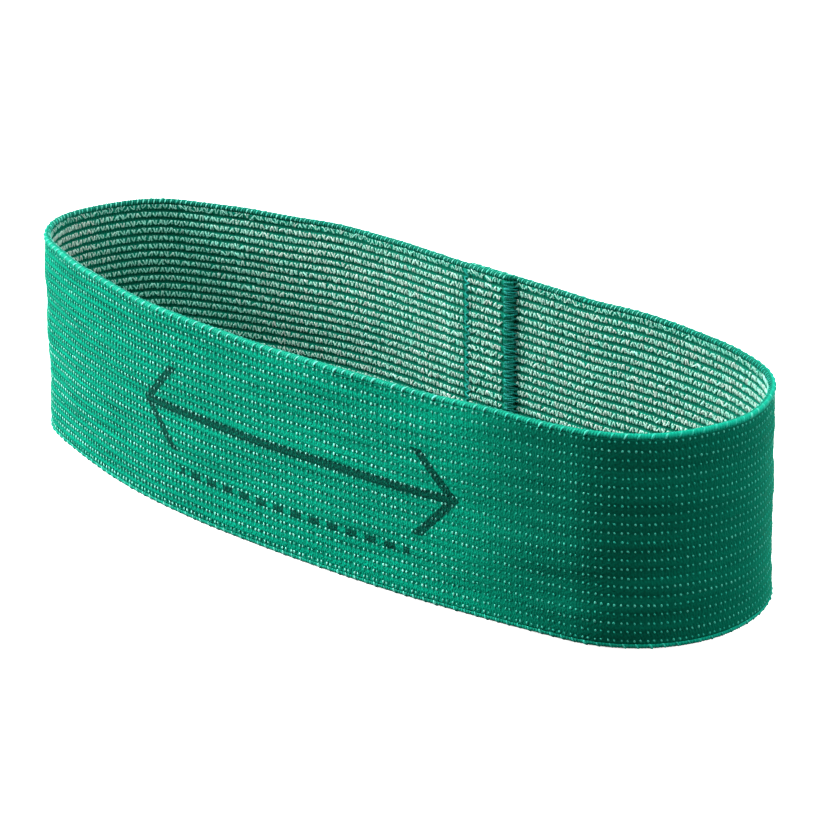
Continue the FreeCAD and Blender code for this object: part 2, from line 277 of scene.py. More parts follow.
def tubes(name, paths, radii, sides, ref, flat=1.0, tone=None, spot_uv=False):
    """One mesh of many tubes. paths is (count, rings, 3) in cloth places (s, z, out)."""
    count, rings = paths.shape[:2]
    ahead = np.gradient(paths, axis=1)
    ahead /= np.linalg.norm(ahead, axis=2, keepdims=True)
    across = np.cross(ahead, np.array(ref, float))
    across /= np.linalg.norm(across, axis=2, keepdims=True)
    above = np.cross(across, ahead)
    angle = TAU * np.arange(sides) / sides
    radii = np.broadcast_to(radii, (count, rings))[:, :, None, None]
    skin = (paths[:, :, None] + radii * (np.cos(angle)[:, None] * across[:, :, None]
            + flat * np.sin(angle)[:, None] * above[:, :, None]))
    skin = skin.reshape(-1, 3)
    points = cloth(skin[:, 0], skin[:, 1], skin[:, 2])
    one = ring_faces(rings, sides)
    shift = (np.arange(count) * rings * sides)[:, None, None]
    faces = [(block[None] + shift).reshape(-1, block.shape[1]) for block in one]
    if spot_uv:
        uv = skin[:, :2]
    else:
        far = np.concatenate([np.zeros((count, 1)), np.cumsum(
            np.linalg.norm(np.diff(paths, axis=1), axis=2), 1)], 1)
        uv = np.stack(np.broadcast_arrays(far[:, :, None], np.abs(angle / math.pi - 1)
                                          [None, None, :]), -1).reshape(-1, 2)
    if tone is None:
        tone = np.zeros(count)
    return make_mesh(name, points, faces, uv=uv, tone=np.repeat(tone, rings * sides))


def units_in(s0, s1, pitch):
    """Numbers of the stitches whose middle lies between s0 and s1."""
    return np.arange(math.ceil(s0 / pitch - 0.5), math.ceil(s1 / pitch - 0.5))


def row_grid(s0, s1, pitch):
    """Middle place and stitch number of every stitch of every row between s0 and s1."""
    number = units_in(s0, s1, pitch)
    s, z = np.meshgrid((number + 0.5) * pitch, FIRST_ROW + PITCH * np.arange(ROWS))
    return s.ravel(), z.ravel(), np.broadcast_to(number, (ROWS, len(number))).ravel()


# ---------------------------------------------------------------- materials
class Paint:
    """Short way to write a node material."""

    def __init__(self, name):
        self.material = bpy.data.materials.new(name)
        self.material.use_nodes = True
        self.nodes = self.material.node_tree.nodes
        self.links = self.material.node_tree.links
        self.shader = self.nodes["Principled BSDF"]
        place = self.nodes.new("ShaderNodeUVMap")
        place.uv_map = "knit"
        split = self.nodes.new("ShaderNodeSeparateXYZ")
        self.links.new(place.outputs[0], split.inputs[0])
        self.u, self.v = split.outputs[0], split.outputs[1]

    def join(self, value, socket):
        if isinstance(value, bpy.types.NodeSocket):
            self.links.new(value, socket)
        else:
            socket.default_value = value

    def sum(self, kind, *values, clamp=False):
        node = self.nodes.new("ShaderNodeMath")
        node.operation = kind
        node.use_clamp = clamp
        for value, socket in zip(values, node.inputs):
            self.join(value, socket)
        return node.outputs[0]

    def step(self, value, low, high, to_low=0.0, to_high=1.0):
        """Smooth change from to_low at low to to_high at high."""
        node = self.nodes.new("ShaderNodeMapRange")
        node.interpolation_type = "SMOOTHSTEP"
        for item, socket in zip((value, low, high, to_low, to_high), node.inputs):
            self.join(item, socket)
        return node.outputs[0]

    def mix(self, share, first, second, kind="MIX"):
        node = self.nodes.new("ShaderNodeMix")
        node.data_type = "RGBA"
        node.blend_type = kind
        self.join(share, node.inputs[0])
        for value, socket in ((first, node.inputs[6]), (second, node.inputs[7])):
            self.join(value if isinstance(value, bpy.types.NodeSocket) else (*value, 1), socket)
        return node.outputs[2]

    def place(self, x, y, z=0.0):
        node = self.nodes.new("ShaderNodeCombineXYZ")
        for value, socket in zip((x, y, z), node.inputs):
            self.join(value, socket)
        return node.outputs[0]

    def noise(self, where, scale=1.0, detail=2.0, rough=0.5):
        node = self.nodes.new("ShaderNodeTexNoise")
        self.join(where, node.inputs["Vector"])
        node.inputs["Scale"].default_value = scale
        node.inputs["Detail"].default_value = detail
        node.inputs["Roughness"].default_value = rough
        return node.outputs[0]

    def stretched_noise(self, along, across, detail=2.0, rough=0.5):
        """Noise over the cloth, with one feature to about so many millimetres each way."""
        return self.noise(self.place(self.sum("DIVIDE", self.u, along),
                                     self.sum("DIVIDE", self.v, across)), 1.0, detail, rough)

    def tone(self):
        node = self.nodes.new("ShaderNodeAttribute")
        node.attribute_name = "tone"
        return node.outputs["Fac"]

    def rows(self):
        """Share of a pitch to the nearest row, signed, and the row's number."""
        row = self.sum("DIVIDE", self.sum("SUBTRACT", self.v, FIRST_ROW), PITCH)
        number = self.sum("ROUND", row)
        return self.sum("SUBTRACT", row, number), number

    def finish(self, colour, rough, bump=None, deep=0.1, sheen=0.0, shine=0.08, sheen_rough=0.5):
        self.join(colour, self.shader.inputs["Base Color"])
        self.join(rough, self.shader.inputs["Roughness"])
        self.shader.inputs["Specular IOR Level"].default_value = shine
        self.shader.inputs["Sheen Weight"].default_value = sheen
        self.shader.inputs["Sheen Roughness"].default_value = sheen_rough
        self.shader.inputs["Sheen Tint"].default_value = (0.1, 0.9, 0.6, 1)
        if bump is not None:
            node = self.nodes.new("ShaderNodeBump")
            node.inputs["Strength"].default_value = 1.0
            node.inputs["Distance"].default_value = deep * MM
            self.join(bump, node.inputs["Height"])
            self.links.new(node.outputs[0], self.shader.inputs["Normal"])
        return self.material


# printed sign on the front, in cloth millimetres
SIGN_ALONG, SIGN_ACROSS = 313.0, 31.5
SHAFT_HALF, TIP_HALF, HEAD_HALF, LINE_HALF = 57.0, 59.0, 12.5, 1.25
DASH_ACROSS, DASH_PITCH, DASH_SHARE, DASH_HALF, DASHES_HALF = 13.6, 2 * UNIT, 0.3, 1.0, 44.2


def print_mask(p):
    """Plain printed sign for the way the loop stretches: an arrow with two heads, and dashes."""
    a = p.sum("ABSOLUTE", p.sum("SUBTRACT", p.u, SIGN_ALONG))
    b = p.sum("ABSOLUTE", p.sum("SUBTRACT", p.v, SIGN_ACROSS))
    shaft = p.sum("MAXIMUM", p.sum("SUBTRACT", a, SHAFT_HALF), p.sum("SUBTRACT", b, LINE_HALF))
    slope = p.sum("ABSOLUTE", p.sum("SUBTRACT", p.sum("ADD", a, b), TIP_HALF))
    arm = p.sum("SUBTRACT", p.sum("MULTIPLY", slope, 0.707), LINE_HALF)
    head = p.sum("MAXIMUM", arm, p.sum("SUBTRACT", b, HEAD_HALF))
    low = p.sum("ABSOLUTE", p.sum("SUBTRACT", p.v, DASH_ACROSS))
    beat = p.sum("FRACT", p.sum("DIVIDE", p.u, DASH_PITCH))
    beat = p.sum("ABSOLUTE", p.sum("SUBTRACT", beat, 0.5))
    dash = p.sum("MAXIMUM", p.sum("SUBTRACT", low, DASH_HALF),
                 p.sum("MULTIPLY", p.sum("SUBTRACT", beat, DASH_SHARE), DASH_PITCH))
    dash = p.sum("MAXIMUM", dash, p.sum("SUBTRACT", a, DASHES_HALF))
    near = p.sum("MINIMUM", p.sum("MINIMUM", shaft, head), dash)
    rag = p.sum("MULTIPLY", p.sum("SUBTRACT", p.stretched_noise(0.7, 0.7), 0.5), 0.9)
    return p.step(p.sum("ADD", near, rag), 0.15, -0.15)


def face_paint():
    p = Paint("face_knit")
    off_row, number = p.rows()
    gap = p.sum("ABSOLUTE", off_row)
    beat = p.sum("FRACT", p.sum("DIVIDE", p.u, STITCH))
    near_hole = p.sum("MINIMUM", beat, p.sum("SUBTRACT", 1.0, beat))
    odd = p.sum("SUBTRACT", p.sum("MULTIPLY", p.sum("PINGPONG", number, 1.0), 2.0), 1.0)
    line = p.step(gap, 0.06, 0.34, 1.0, 0.0)
    # needle holes, longer and wider towards the left end where the knit is open
    wide = p.step(p.u, 330, 230)
    tall_gap = p.sum("SUBTRACT", gap, p.sum("MULTIPLY", wide, 0.08))
    wide_gap = p.sum("SUBTRACT", near_hole, p.sum("MULTIPLY", wide, 0.04))
    hole = p.sum("MULTIPLY", p.step(tall_gap, 0.22, 0.38, 1.0, 0.0),
                 p.step(wide_gap, 0.13, 0.27, 1.0, 0.0))
    # slanting yarn floats between the rows, with one dip to a stitch
    stray = p.stretched_noise(2.6, 1.3, 2)
    loose = p.sum("ADD", p.u, p.sum("MULTIPLY", stray, 1.1))
    slant = p.sum("ADD", loose, p.sum("MULTIPLY", p.sum("MULTIPLY", odd, 0.3), p.v))
    float_wave = p.sum("SINE", p.sum("MULTIPLY", slant, TAU / YARN))
    fine_wave = p.sum("SINE", p.sum("MULTIPLY", slant, TAU / 0.28))
    dip_slant = p.sum("ADD", loose, p.sum("MULTIPLY", off_row, 0.9))
    dip = p.step(p.sum("COSINE", p.sum("MULTIPLY", dip_slant, TAU / STITCH)), 0.2, 1.0)
    streak = p.stretched_noise(22, 0.55, 3)
    patch = p.stretched_noise(30, 14, 2)
    grain = p.stretched_noise(0.5, 0.75, 2)
    # round the right end the knit is pulled flat and even
    tight = p.sum("MULTIPLY", p.step(p.u, 335, 405), p.step(p.u, 560, 500))
    deep = p.sum("SUBTRACT", 1.0, p.sum("MULTIPLY", tight, 0.6))
    open_up = p.sum("MULTIPLY", p.step(p.u, 345, 250, 0.55, 1.0),
                    p.step(streak, 0.3, 0.75, 1.0, 0.55))
    band = p.sum("SUBTRACT", p.step(streak, 0.25, 0.75), 0.6)
    band = p.sum("ADD", p.sum("MULTIPLY", band, deep), 0.6)
    colour = p.mix(band, (0.0, 0.18, 0.102), (0.0, 0.42, 0.242))
    colour = p.mix(p.step(patch, 0.3, 0.7, 0.0, 0.25), colour, (0.0, 0.17, 0.097))
    # painted shade of long furrows, in streaks towards the left end
    furrow_shade = p.sum("MULTIPLY", p.step(p.stretched_noise(17, 2.4, 2), 0.5, 0.33, 0.0, 0.5), wide)
    colour = p.mix(furrow_shade, colour, (0.0, 0.13, 0.075))
    # painted highlight on the crest of each slanting float, and painted shade in the trough between
    # floats
    light = p.sum("MULTIPLY", p.step(p.sum("ADD", float_wave, p.sum("MULTIPLY", fine_wave, 0.4)),
                                     0.0, 1.4, 0.0, 0.5), deep)
    colour = p.mix(light, colour, (0.001, 0.50, 0.31))
    dark = p.sum("MULTIPLY", p.step(float_wave, -0.2, -1.0, 0.0, 0.38), deep)
    colour = p.mix(dark, colour, (0.0, 0.07, 0.04))
    colour = p.mix(p.sum("MULTIPLY", p.step(grain, 0.38, 0.7, 0.0, 0.55), deep), colour,
                   (0.002, 0.47, 0.29))
    colour = p.mix(p.sum("MULTIPLY", p.step(grain, 0.6, 0.28, 0.0, 0.35), deep), colour,
                   (0.0, 0.095, 0.055))
    # painted shade in the dip of each stitch
    colour = p.mix(p.sum("MULTIPLY", p.sum("MULTIPLY", dip, 0.45), deep), colour,
                   (0.0, 0.07, 0.045))
    # painted shade along each row, round and under the pale stitches
    colour = p.mix(p.sum("MULTIPLY", p.sum("MULTIPLY", line, 0.35), deep), colour,
                   (0.0, 0.11, 0.07))
    # painted shade in the needle holes, nearly black, stronger towards the left end
    hole_shade = p.sum("MULTIPLY", p.sum("MULTIPLY", hole, 0.95), p.sum("MULTIPLY", deep, open_up))
    colour = p.mix(hole_shade, colour, (0.0, 0.022, 0.014))
    # painted shade where the front wall turns into the right end, easing off further round it
    curve_shade = p.sum("MULTIPLY", p.step(p.u, 366, 404, 0.0, 0.72),
                   p.step(p.u, 495, 455, 0.4, 1.0))
    colour = p.mix(curve_shade, colour, (0.0, 0.08, 0.05))
    ink = p.sum("MULTIPLY", print_mask(p), p.step(grain, 0.35, 0.62, 0.96, 0.74))
    colour = p.mix(ink, colour, (0.001, 0.026, 0.019))
    bump = p.sum("ADD", p.sum("MULTIPLY", float_wave, 0.35), p.sum("MULTIPLY", fine_wave, 0.15))
    bump = p.sum("ADD", p.sum("ADD", bump, grain), p.sum("MULTIPLY", dip, -0.6))
    rough = p.step(grain, 0.2, 0.8, 0.65, 0.9)
    return p.finish(colour, rough, bump, 0.065, sheen=0.02, shine=0.015)


def fleck_paint():
    p = Paint("pale_fleck")
    grain = p.stretched_noise(0.3, 0.3, 2)
    tone = p.tone()
    colour = p.mix(tone, (0.02, 0.45, 0.32), (0.34, 0.93, 0.78))
    colour = p.mix(p.step(grain, 0.3, 0.7, 0.0, 0.3), colour, (0.06, 0.52, 0.40))
    ink = p.sum("MULTIPLY", print_mask(p), 0.6)
    colour = p.mix(ink, colour, (0.015, 0.10, 0.08))
    return p.finish(colour, p.step(grain, 0.2, 0.8, 0.55, 0.8), grain, 0.05,
                    sheen=0.02, shine=0.03)


def backing_paint():
    p = Paint("backing_knit")
    gap = p.sum("ABSOLUTE", p.rows()[0])
    beat = p.sum("SINE", p.sum("MULTIPLY", p.u, TAU / YARN))
    streak = p.stretched_noise(18, 0.6, 3)
    grain = p.stretched_noise(0.4, 0.4, 2)
    colour = p.mix(streak, (0.0, 0.115, 0.068), (0.0, 0.25, 0.155))
    colour = p.mix(p.sum("MULTIPLY", p.sum("ADD", beat, 1.0), 0.16), colour, (0.01, 0.30, 0.20))
    colour = p.mix(p.step(grain, 0.4, 0.8, 0.0, 0.35), colour, (0.02, 0.30, 0.20))
    # painted shade on the sunken ground between the rows of grip yarn, and a darker line of painted
    # shade in the groove between rows
    colour = p.mix(p.step(gap, 0.25, 0.35, 0.0, 0.85), colour, (0.0, 0.085, 0.05))
    colour = p.mix(p.step(gap, 0.42, 0.48, 0.0, 0.5), colour, (0.0, 0.05, 0.033))
    bump = p.sum("ADD", p.sum("MULTIPLY", beat, 0.5), grain)
    return p.finish(colour, p.step(grain, 0.2, 0.8, 0.6, 0.85), bump, 0.09, sheen=0.03, shine=0.03)


def grip_paint():
    p = Paint("grip_yarn")
    grain = p.noise(p.place(p.sum("MULTIPLY", p.u, 1.6), p.sum("MULTIPLY", p.v, 1.5), p.sum(
        "MULTIPLY", p.tone(), 40.0)), 1.5, 3, 0.6)
    twist = p.sum("SINE", p.sum("ADD", p.sum("MULTIPLY", p.u, TAU / 0.35),
                                p.sum("MULTIPLY", p.v, TAU)))
    colour = p.mix(p.tone(), (0.29, 0.81, 0.66), (0.60, 0.72, 0.655))
    colour = p.mix(p.step(grain, 0.45, 0.75, 0.0, 0.35), colour, (0.84, 0.90, 0.85))
    colour = p.mix(p.step(grain, 0.50, 0.34, 0.0, 0.75), colour, (0.06, 0.40, 0.28))
    # painted shade in the grooves of the twist
    colour = p.mix(p.step(twist, -1.0, -0.3, 0.3, 0.0), colour, (0.16, 0.45, 0.33))
    bump = p.sum("ADD", p.sum("MULTIPLY", twist, 0.4), grain)
    return p.finish(colour, p.step(grain, 0.2, 0.8, 0.55, 0.8), bump, 0.06,
                    sheen=0.04, shine=0.04)


def bead_paint():
    p = Paint("rolled_edge")
    slant = p.sum("ADD", p.u, p.sum("MULTIPLY", p.v, 0.9))
    rib = p.sum("SINE", p.sum("MULTIPLY", slant, TAU / YARN))
    inner = p.step(p.v, 0.14, 0.36, 1.0, 0.0)
    grain = p.noise(p.place(p.sum("MULTIPLY", p.u, 2.5), p.sum("MULTIPLY", p.v, 6.0)), 1.0, 3)
    streak = p.noise(p.place(p.sum("MULTIPLY", p.u, 0.06), p.sum("MULTIPLY", p.v, 9.0)), 1.0, 2)
    colour = p.mix(streak, (0.0, 0.18, 0.108), (0.002, 0.33, 0.205))
    # dark green gaps between the ribs, deepened with painted shade in the grooves, more on the
    # inner side
    dark = p.sum("MULTIPLY", p.step(rib, 0.3, -0.6),
                 p.sum("ADD", p.sum("MULTIPLY", inner, 0.7), 0.22))
    colour = p.mix(dark, colour, (0.0, 0.035, 0.024))
    pale = p.sum("MULTIPLY", p.step(rib, 0.3, 1.0),
                 p.sum("ADD", p.sum("MULTIPLY", inner, 0.35), 0.1))
    colour = p.mix(pale, colour, (0.05, 0.50, 0.35))
    colour = p.mix(p.step(grain, 0.4, 0.75, 0.0, 0.35), colour, (0.01, 0.42, 0.28))
    colour = p.mix(p.sum("MULTIPLY", inner, 0.62), colour, (0.0, 0.07, 0.044))
    # painted light on the outer side of the edge round the right end
    right = p.sum("MULTIPLY", p.step(p.u, 400, 440), p.step(p.u, 540, 500))
    colour = p.mix(p.sum("MULTIPLY", right, p.step(inner, 0.6, 0.1, 0.0, 0.5)), colour,
                   (0.0, 0.42, 0.28))
    return p.finish(colour, p.step(grain, 0.2, 0.8, 0.55, 0.8),
                    p.sum("ADD", p.sum("MULTIPLY", rib, 0.6), grain), 0.09, sheen=0.03, shine=0.03)


def cord_paint():
    p = Paint("rubber_cord")
    grain = p.stretched_noise(3, 0.4, 3)
    colour = p.mix(grain, (0.50, 0.46, 0.36), (0.82, 0.78, 0.66))
    return p.finish(colour, p.step(grain, 0.2, 0.8, 0.4, 0.65), grain, 0.05, shine=0.4)


def thread_paint():
    p = Paint("seam_thread")
    twist = p.sum("SINE", p.sum("ADD", p.sum("MULTIPLY", p.u, TAU / 0.5),
                                p.sum("MULTIPLY", p.v, TAU)))
    grain = p.noise(p.place(p.u, p.sum("MULTIPLY", p.v, 3.0),
                            p.sum("MULTIPLY", p.tone(), 30.0)), 2.0)
    colour = p.mix(p.tone(), (0.0, 0.13, 0.105), (0.0, 0.44, 0.36))
    # painted shade in the grooves of the twist
    colour = p.mix(p.step(twist, -1.0, 0.2, 0.5, 0.0), colour, (0.0, 0.05, 0.04))
    colour = p.mix(p.step(grain, 0.45, 0.75, 0.0, 0.3), colour, (0.04, 0.50, 0.41))
    return p.finish(colour, p.step(grain, 0.2, 0.8, 0.5, 0.7),
                    p.sum("ADD", twist, grain), 0.05, sheen=0.04, shine=0.12)


PAINTS = {"face_knit": face_paint(), "pale_fleck": fleck_paint(), "backing_knit": backing_paint(),
          "grip_yarn": grip_paint(), "rolled_edge": bead_paint(), "rubber_cord": cord_paint(),
          "seam_thread": thread_paint()}


# ---------------------------------------------------------------- layers of the cloth
rows_out = np.arange(WALL_LOW, WALL_HIGH + 0.01, PITCH / 8)
rows_in = np.arange(WALL_LOW, WALL_HIGH + 0.01, PITCH / 6)
rows_hidden = np.linspace(WALL_LOW, WALL_HIGH, ROWS + 1)
face_grain = smooth_noise(21, 2.6, 1.3)


def round_the_end(s):
    """1 round the right end, where the knit is stretched flat; there its pale stitches and the
    wraps on the edge are made fainter, as painted shade.
    """
    return ramp(s, 335, 405) * (1 - ramp(s, 500, 560))


def face_outside(s, z):
    """Outer face: bulging floats between the rows, and needle holes along each row."""
    off = row_offset(z)
    swell = (0.5 - 0.5 * np.cos(TAU * off)) ** 0.8
    knot = np.cos(TAU * (s / STITCH + 0.5 + 0.5 * off))
    hole_far = (s / STITCH - np.round(s / STITCH)) * STITCH
    hole = np.exp(-(off * PITCH / 0.42) ** 2) * np.exp(-(hole_far / 0.36) ** 2)
    flat = 1 - 0.6 * round_the_end(s)
    return 0.77 + flat * (swell * (0.07 + 0.03 * knot) - 0.2 * hole) + 0.02 * face_grain(s, z)


def backing_inside(s, z):
    """Inner ground: one ridge to a row over the rubber, and a narrow groove between rows."""
    off = row_offset(z)
    ripple = 0.03 * np.cos(TAU * s / STITCH) * np.cos(math.pi * off)
    return -0.76 + 0.2 * np.abs(2 * off) ** 3 - ripple


def make_flecks(name, s0, s1, seed):
    """Small pale stitches that show on the outside, one to a stitch on every row."""
    rng = np.random.default_rng(seed)
    s, z, number = row_grid(s0, s1, STITCH)
    tilt = np.where(number % 2 == 0, 0.1, 0.4) + 0.12 * rng.normal(size=len(s))
    strong = np.where(number % 2 == 0, 0.9, 0.7) + 0.14 * rng.normal(size=len(s))
    strong = np.clip(strong * fleck_fade(s, z), 0, 1)
    size = np.clip(0.56 + 0.44 * strong + 0.07 * rng.normal(size=len(s)), 0.4, 1.1)
    # round the right end the pale stitches grow larger and their tone is lowered as painted shade
    right_end_share = round_the_end(s)
    size, strong = size + 0.22 * right_end_share, np.clip(strong - 0.12 * right_end_share, 0, 1)
    paired = 0.08 + 0.13 * ramp(s, 190, 290) * (1 - ramp(s, 380, 430))
    s = s + np.where(number % 2 == 0, 1, -1) * paired + 0.07 * rng.normal(size=len(s))
    z = z + 0.05 * rng.normal(size=len(s))
    turn = TAU * np.arange(6) / 6
    rings = [(0.34, 0.50, -0.12), (0.32, 0.47, 0.05), (0.19, 0.30, 0.16)]
    shape = np.array([(a * math.cos(t), b * math.sin(t), c) for a, b, c in rings for t in turn]
                     + [(0, 0, 0.20)])
    base = np.arange(6)
    after = (base + 1) % 6
    quads = np.concatenate([np.stack([k + base, k + after, k + 6 + after, k + 6 + base], 1)
                            for k in (0, 6)])
    fan = np.stack([12 + base, 12 + after, np.full(6, 18)], 1)
    floor = base[None, ::-1]
    c, n = np.cos(tilt)[:, None], np.sin(tilt)[:, None]
    along = (shape[:, 0] * c - shape[:, 1] * n) * size[:, None] + s[:, None]
    across = (shape[:, 0] * n + shape[:, 1] * c) * size[:, None] + z[:, None]
    out = 0.74 + shape[None, :, 2] * size[:, None]
    points = cloth(along, across, out).reshape(-1, 3)
    shift = (np.arange(len(s)) * len(shape))[:, None, None]
    faces = [(block[None] + shift).reshape(-1, block.shape[1]) for block in (quads, fan, floor)]
    uv = np.stack([along.ravel(), across.ravel()], 1)
    return make_mesh(name, points, faces, uv=uv, tone=np.repeat(strong, len(shape)))


fade_waves = smooth_noise(31, 60, 4)


def fleck_fade(s, z):
    """How strongly the pale stitches show, which changes in long streaks. It is lowered on the
    upper part of the wall towards the left end, and round the right end as painted shade.
    """
    return np.clip(0.92 + 0.4 * fade_waves(s, z), 0.25, 1.3) * (1 - 0.72 * round_the_end(s)) \
        * (1 - 0.5 * (1 - ramp(s, 185, 265)) * ramp(z, 22, 44))


def make_hooks(name, s0, s1, seed):
    """Pale grip yarn on the inside: a V and an upside-down V to every knitted unit."""
    rng = np.random.default_rng(seed)
    s, z, number = row_grid(s0, s1, STITCH)
    keep = (s > 2.6) & (np.abs(s - COVER_LINE) > 0.9)
    s, z, number = s[keep], z[keep], number[keep]
    count = len(s)
    flip = np.where(number % 2 == 0, 1.0, -1.0)[:, None]
    course = np.array([(-0.76, 0.42, -0.76), (-0.52, 0.62, -0.95), (-0.33, 0.06, -1.0),
                       (-0.13, -0.58, -0.95), (0.13, -0.60, -0.96), (0.31, -0.02, -1.0),
                       (0.50, 0.64, -0.95), (0.76, 0.50, -0.76)])
    wide = 1.0 + 0.10 * rng.normal(size=(count, 1))
    tall = 1.0 + 0.12 * rng.normal(size=(count, 1))
    loose = np.where(s < COVER_LINE, 1.6, 1.0)[:, None]
    top_row = z > WIDTH - FIRST_ROW - 0.5
    loose = loose + top_row[:, None]
    lean = 0.15 + 0.22 * loose * rng.normal(size=(count, 1))
    bend = 0.08 * loose * rng.normal(size=(count, len(course)))
    along = course[:, 0] * wide + lean * course[:, 1] + bend
    across = course[:, 1] * tall * flip
    paths = np.stack([s[:, None] + along + 0.06 * loose * rng.normal(size=(count, 1)),
                      z[:, None] + across + 0.06 * loose * rng.normal(size=(count, 1)),
                      course[:, 2] + 0.025 * rng.normal(size=(count, 1))], -1)
    thick = np.array([0.14, 0.24, 0.25, 0.24, 0.24, 0.25, 0.24, 0.14])
    radii = thick * np.clip(1 + 0.16 * rng.normal(size=(count, len(thick))), 0.6, 1.4)
    radii = radii * np.where(top_row, 0.66, 1)[:, None]
    # painted shade: greener, darker hooks inside the bend from the back wall into the left end;
    # painted light: paler hooks further round inside the left end
    shaded = ramp(s, 85, 125) * (1 - ramp(s, 138, 158))
    lit_inside_left = ramp(s, 148, 160) * (1 - ramp(s, 190, 200))
    tone = (rng.normal(0.57, 0.22, count) - 0.6 * shaded + 0.4 * lit_inside_left
            - top_row * (0.3 + 0.4 * (number % 2)))
    return tubes(name, paths, radii, 5, (0, 0, 1), flat=0.7, tone=np.clip(tone, 0, 1))


def make_cords(name, s0, s1):
    """Square cut rubber threads inside the knit, one to a row."""
    rings = int((s1 - s0) / 3.4) + 2
    low, high = max(s0, 0.5), min(s1, WHOLE - 0.5)
    s = np.broadcast_to(np.linspace(low, high, rings), (ROWS, rings))
    z = np.broadcast_to((FIRST_ROW + PITCH * np.arange(ROWS))[:, None], s.shape)
    paths = np.stack([s, z, 0 * s], -1)
    return tubes(name, paths, 0.35, 8, (0, 0, 1), spot_uv=True)


# rolled edge: height of its middle, its place out from the cloth's middle, and half its
# thickness and half its height
BEAD_MIDDLE, BEAD_OUT, BEAD_DEEP, BEAD_TALL = 0.98, -0.03, 0.98, 0.97


def make_bead(name, s0, s1, upper):
    """Rolled edge: a soft bead wrapped in slanting yarn."""
    columns = int(round((s1 - s0) / 0.17)) + 1
    gap = (s1 - s0) / (columns - 1)
    s = (s0 + gap * np.arange(-1, columns + 1))[:, None]
    ring = 14
    share = np.arange(ring)[None, :] / ring
    angle = TAU * share
    rise = 1 if upper else -1
    middle = WIDTH - BEAD_MIDDLE if upper else BEAD_MIDDLE
    inner = 0.5 - 0.5 * np.cos(angle)
    rib = np.cos(TAU * (s + 0.9 * np.abs(2 * share - 1)) / YARN)
    swell = 0.95 + (0.03 + 0.06 * inner) * rib + 0.02 * face_grain(s, 3 * share)
    nearest = np.minimum(np.abs(s), np.abs(s - WHOLE))
    swell = swell * (0.3 + 0.7 * np.sqrt(np.clip(nearest / 0.9, 0, 1)))
    out = BEAD_OUT + BEAD_DEEP * swell * np.cos(angle)
    z = middle + rise * BEAD_TALL * swell * np.sin(angle)
    if not upper:
        out, z = out[:, ::-1], np.maximum(z[:, ::-1], 0.0)
    points = cloth(s, z, out)
    along, body = points[2:] - points[:-2], points[1:-1]
    across = np.roll(body, -1, 1) - np.roll(body, 1, 1)
    normals = np.cross(across, along)
    normals /= np.maximum(np.linalg.norm(normals, axis=2, keepdims=True), 1e-12)
    v = np.abs(2 * share - 1) * np.ones_like(s[1:-1])
    uv = np.stack([s[1:-1] + 0 * v, 0.5 * v], -1).reshape(-1, 2)
    return make_mesh(name, body.reshape(-1, 3), ring_faces(columns, ring), uv=uv, normals=-normals)


def make_ticks(name, s0, s1, upper, seed):
    """Pale yarn over the rolled edge: a slanting wrap to every unit, and short marks inside."""
    rng = np.random.default_rng(seed)
    rise = 1 if upper else -1
    middle = WIDTH - BEAD_MIDDLE if upper else BEAD_MIDDLE
    every = []
    for pitch, first, last, slope, thick in ((UNIT, -38, 80, 1.05, 0.29),
                                             (STITCH, 112, 196, 0.5, 0.17)):
        s = (units_in(s0, s1, pitch) + 0.5) * pitch
        s = s[(s > 1.5) & (s < WHOLE - 1.5)]
        s = (s + 0.09 * rng.normal(size=len(s)))[:, None]
        angle = np.radians(np.linspace(first, last, 7)) + 0.12 * rng.normal(size=(len(s), 1))
        lean = np.linspace(-0.5, 0.5, 7) * slope + 0.08 * rng.normal(size=(len(s), 1))
        reach = 1.0 - 0.4 * thick
        path = np.stack([s + lean, middle + rise * BEAD_TALL * reach * np.sin(angle),
                         BEAD_OUT + reach * np.cos(angle)], -1)
        taper = thick * np.array([0.45, 0.85, 1, 1.05, 1, 0.85, 0.45])
        every.append((path, taper * (1 + 0.15 * rng.normal(size=(len(s), 1))),
                      0.4 if pitch == UNIT else 0.3))
    paths = np.concatenate([e[0] for e in every])
    if not upper:
        paths[..., 1] = np.maximum(paths[..., 1], 0.12)
    tone = np.concatenate([np.full(len(e[0]), e[2] if upper else 0.25) for e in every])
    # edge wraps made fainter round the right end, as painted shade
    tone = tone - 0.4 * round_the_end(paths[:, 3, 0])
    return tubes(name, paths, np.concatenate([e[1] for e in every]), 6, (1, 0.2, 0),
                 tone=np.clip(tone + 0.15 * rng.normal(size=len(tone)), 0, 1))


# ---------------------------------------------------------------- regions
# Body that each region follows. A wall is given as its end body and the two X places, in
# metres, between which it changes from the middle's motion to the end's.
SPANS = {"left_end": "left_end", "right_end": "right_end",
         "front_left": ("left_end", -0.0234, -0.1104), "back_left": ("left_end", -0.0261, -0.1115),
         "front_right": ("right_end", -0.0234, 0.1020), "back_right": ("right_end", 0.0090, 0.1021)}


def settle(piece, region, paint, nodes=()):
    """Give a piece its paint, hide the CAD nodes that it stands for, and attach it to the body that
    it follows; a wall piece only has its transform baked in.
    """
    piece.data.materials.append(PAINTS[paint])
    move = SPANS[region]
    if isinstance(move, str):
        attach(piece, move)
    else:
        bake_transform(piece)
    if nodes:
        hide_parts(*nodes)
    return piece


